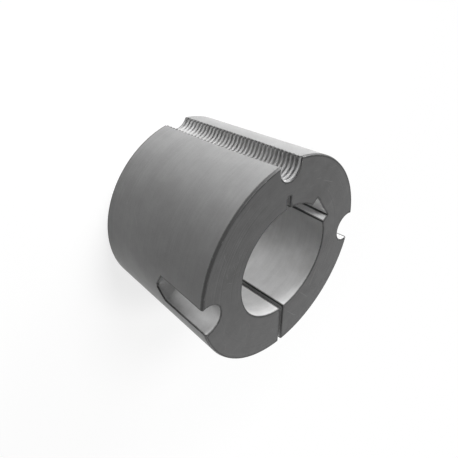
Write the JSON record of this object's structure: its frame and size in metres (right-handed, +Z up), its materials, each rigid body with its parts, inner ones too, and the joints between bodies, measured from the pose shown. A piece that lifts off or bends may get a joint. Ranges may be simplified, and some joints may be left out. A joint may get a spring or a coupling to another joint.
{
  "type": "taper bush",
  "caption": "Split taper bush with a keyed shaft bore, two plain blind screw half-holes and a tapped half-hole along its tapered side, for locking a hub on a shaft.",
  "frame": {"origin": "centre of the bore at the small end face, on which the bush stands", "axes": "+Z up the bore axis toward the large end; -X from the bore axis through the middle of the keyway; angles anticlockwise seen from the large end put the tapped half-hole at 235 degrees, the split at 55 and the plain half-holes at 140 and 330"},
  "size_m": [0.108, 0.108, 0.076],
  "materials": {
    "machined_iron": "satin machined grey iron, turned taper, faced ends, bored and broached inside"
  },
  "bodies": {
    "root": {"bush": "machined_iron"}
  },
  "joints": []
}
